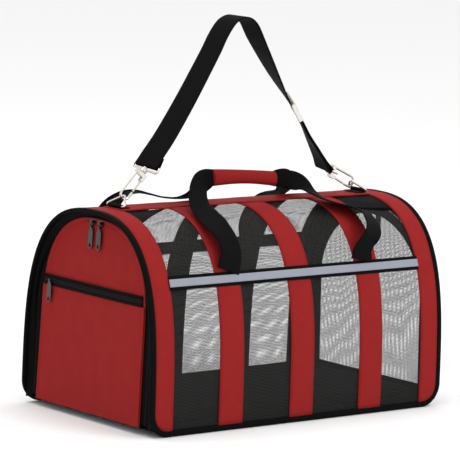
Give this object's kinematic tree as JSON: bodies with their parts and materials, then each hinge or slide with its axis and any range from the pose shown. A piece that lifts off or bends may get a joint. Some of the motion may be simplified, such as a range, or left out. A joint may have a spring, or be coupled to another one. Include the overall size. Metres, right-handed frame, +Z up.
{
  "type": "pet carrier bag",
  "caption": "Soft-sided tunnel pet carrier with netting walls, zipped end doors, a padded carry grip and a clip-on shoulder strap.",
  "frame": {"origin": "on the ground under the middle of the body", "axes": "+X along the body towards the net door, +Y towards the back wall, +Z up"},
  "size_m": [0.48, 0.274, 0.507],
  "materials": {
    "red_nylon": "satin weave",
    "black_nylon": "satin weave",
    "black_webbing": "ribbed weave",
    "netting": "open net",
    "reflective_tape": "retroreflective satin",
    "fleece": "brushed pile",
    "grip_foam": "soft foam",
    "spring_steel": "drawn wire",
    "nickel": "polished nickel",
    "dark_nickel": "dark polished nickel"
  },
  "bodies": {
    "carrier": {"front_mesh_wall": "netting", "back_mesh_wall": "netting", "top_spine": "red_nylon", "left_end_band": "red_nylon", "right_end_band": "red_nylon", "left_rim_binding": "black_nylon", "right_rim_binding": "black_nylon", "bottom_bindings": "black_nylon", "rib_strap_1": "red_nylon", "rib_strap_2": "red_nylon", "rib_strap_3": "red_nylon", "front_strip_backing": "black_webbing", "front_reflective_tape": "reflective_tape", "back_strip_backing": "black_webbing", "back_reflective_tape": "reflective_tape", "bottom_panel": "black_nylon", "base_board": "black_nylon", "floor_mat": "fleece", "left_gusset": "black_nylon", "right_gusset": "black_nylon", "left_shell_zip": "black_nylon", "right_shell_zip": "black_nylon", "left_hoop_spring": "spring_steel", "right_hoop_spring": "spring_steel", "top_corner_panels": "black_nylon", "d_ring_tabs": "black_webbing", "front_handle_webbing": "black_webbing", "back_handle_webbing": "black_webbing"},
    "left_door": {"left_door_panel": "red_nylon", "pocket_panel": "red_nylon", "pocket_zip": "black_nylon", "left_door_zip": "black_nylon"},
    "right_door": {"right_door_mesh": "netting", "right_door_frame": "black_nylon", "right_door_zip": "black_nylon"},
    "grip": {"grip_wrap": "red_nylon", "grip_core": "grip_foam"},
    "strap": {"shoulder_strap": "black_webbing", "strap_lower_loop": "black_webbing", "left_swivel_loop": "nickel", "right_swivel_loop": "nickel"},
    "adjuster": {"strap_adjuster": "nickel"},
    "left_slider_a": {"left_zip_slider_a": "dark_nickel"},
    "left_link_a": {"left_zip_link_a": "dark_nickel"},
    "left_tab_a": {"left_pull_tab_a": "dark_nickel"},
    "left_slider_b": {"left_zip_slider_b": "dark_nickel"},
    "left_link_b": {"left_zip_link_b": "dark_nickel"},
    "left_tab_b": {"left_pull_tab_b": "dark_nickel"},
    "right_slider_a": {"right_zip_slider_a": "dark_nickel"},
    "right_pull_a": {"right_zip_pull_a": "dark_nickel"},
    "right_slider_b": {"right_zip_slider_b": "dark_nickel"},
    "right_pull_b": {"right_zip_pull_b": "dark_nickel"},
    "pocket_slider": {"pocket_zip_slider": "dark_nickel"},
    "pocket_pull": {"pocket_pull_tab": "dark_nickel"},
    "left_hook": {"left_snap_hook": "nickel"},
    "left_gate": {"left_hook_gate": "nickel"},
    "left_ring": {"left_d_ring": "nickel"},
    "right_hook": {"right_snap_hook": "nickel"},
    "right_gate": {"right_hook_gate": "nickel"},
    "right_ring": {"right_d_ring": "nickel"}
  },
  "joints": [
    {"name": "left_door_open", "type": "hinge", "parent": "carrier", "child": "left_door", "pos_m": [-0.23386, 0, 0.01042], "axis": [0, -1, 0], "range_deg": [0, 90]},
    {"name": "right_door_open", "type": "hinge", "parent": "carrier", "child": "right_door", "pos_m": [0.23386, 0, 0.01042], "axis": [0, 1, 0], "range_deg": [0, 90]},
    {"name": "left_zip_a", "type": "hinge", "parent": "left_door", "child": "left_slider_a", "pos_m": [-0.22969, 0, 0.13546], "axis": [-0.9997, 0, 0.0262], "range_deg": [0, 86]},
    {"name": "left_pull_swing_a", "type": "hinge", "parent": "left_slider_a", "child": "left_link_a", "pos_m": [-0.22666, 0.0085, 0.25111], "axis": [-0.9997, 0, 0.0262], "range_deg": [-86, 86]},
    {"name": "left_tab_lift_a", "type": "hinge", "parent": "left_link_a", "child": "left_tab_a", "pos_m": [-0.2318, 0.0085, 0.24604], "axis": [0, 1, 0], "range_deg": [0, 100]},
    {"name": "left_zip_b", "type": "hinge", "parent": "left_door", "child": "left_slider_b", "pos_m": [-0.22969, 0, 0.13546], "axis": [0.9997, 0, -0.0262], "range_deg": [0, 86]},
    {"name": "left_pull_swing_b", "type": "hinge", "parent": "left_slider_b", "child": "left_link_b", "pos_m": [-0.22666, -0.0085, 0.25111], "axis": [0.9997, 0, -0.0262], "range_deg": [-86, 86]},
    {"name": "left_tab_lift_b", "type": "hinge", "parent": "left_link_b", "child": "left_tab_b", "pos_m": [-0.2318, -0.0085, 0.24604], "axis": [0, 1, 0], "range_deg": [0, 100]},
    {"name": "right_zip_a", "type": "hinge", "parent": "right_door", "child": "right_slider_a", "pos_m": [0.22969, 0, 0.13546], "axis": [0.9997, 0, 0.0262], "range_deg": [0, 86]},
    {"name": "right_pull_swing_a", "type": "hinge", "parent": "right_slider_a", "child": "right_pull_a", "pos_m": [0.22666, -0.0085, 0.25111], "axis": [0.9997, 0, 0.0262], "range_deg": [-86, 86]},
    {"name": "right_zip_b", "type": "hinge", "parent": "right_door", "child": "right_slider_b", "pos_m": [0.22969, 0, 0.13546], "axis": [-0.9997, 0, -0.0262], "range_deg": [0, 86]},
    {"name": "right_pull_swing_b", "type": "hinge", "parent": "right_slider_b", "child": "right_pull_b", "pos_m": [0.22666, 0.0085, 0.25111], "axis": [-0.9997, 0, -0.0262], "range_deg": [-86, 86]},
    {"name": "pocket_zip_travel", "type": "slide", "parent": "left_door", "child": "pocket_slider", "axis": [0, -1, 0], "range_m": [0, 0.18]},
    {"name": "pocket_pull_lift", "type": "hinge", "parent": "pocket_slider", "child": "pocket_pull", "pos_m": [-0.23549, 0.088, 0.16612], "axis": [0, 1, 0], "range_deg": [0, 100]},
    {"name": "grip_lift", "type": "slide", "parent": "carrier", "child": "grip", "axis": [0, 0, 1], "range_m": [-0.01, 0.025], "deforming": ["front_handle_webbing", "back_handle_webbing"]},
    {"name": "strap_swing", "type": "hinge", "parent": "carrier", "child": "strap", "pos_m": [0, 0, 0.28027], "axis": [1, 0, 0], "range_deg": [-24, 24]},
    {"name": "left_hook_swivel", "type": "hinge", "parent": "strap", "child": "left_hook", "pos_m": [-0.19143, 0, 0.28027], "axis": [0.7009, 0, 0.7133], "range_deg": [-15, 15]},
    {"name": "left_gate_press", "type": "hinge", "parent": "left_hook", "child": "left_gate", "pos_m": [-0.16241, 0, 0.30153], "axis": [0, 1, 0], "range_deg": [0, 20], "stiffness_Nm_per_rad": 0.01, "springref_deg": -5.73},
    {"name": "left_ring_tilt", "type": "hinge", "parent": "carrier", "child": "left_ring", "pos_m": [-0.202, 0, 0.2714], "axis": [0, 1, 0], "range_deg": [-5, 2]},
    {"name": "right_hook_swivel", "type": "hinge", "parent": "strap", "child": "right_hook", "pos_m": [0.19143, 0, 0.28027], "axis": [-0.9063, 0, 0.4226], "range_deg": [-15, 15]},
    {"name": "right_gate_press", "type": "hinge", "parent": "right_hook", "child": "right_gate", "pos_m": [0.1568, 0, 0.29002], "axis": [0, -1, 0], "range_deg": [0, 20], "stiffness_Nm_per_rad": 0.01, "springref_deg": -5.73},
    {"name": "right_ring_tilt", "type": "hinge", "parent": "carrier", "child": "right_ring", "pos_m": [0.202, 0, 0.2714], "axis": [0, -1, 0], "range_deg": [0, 6]},
    {"name": "adjuster_slide", "type": "slide", "parent": "strap", "child": "adjuster", "axis": [-0.5677, 0, 0.8232], "range_m": [-0.002, 0.025]}
  ],
  "couplings": [
    {"joint": "left_pull_swing_a", "follows": "left_zip_a", "ratio": -1},
    {"joint": "left_pull_swing_b", "follows": "left_zip_b", "ratio": -1},
    {"joint": "right_pull_swing_a", "follows": "right_zip_a", "ratio": -1},
    {"joint": "right_pull_swing_b", "follows": "right_zip_b", "ratio": -1}
  ]
}
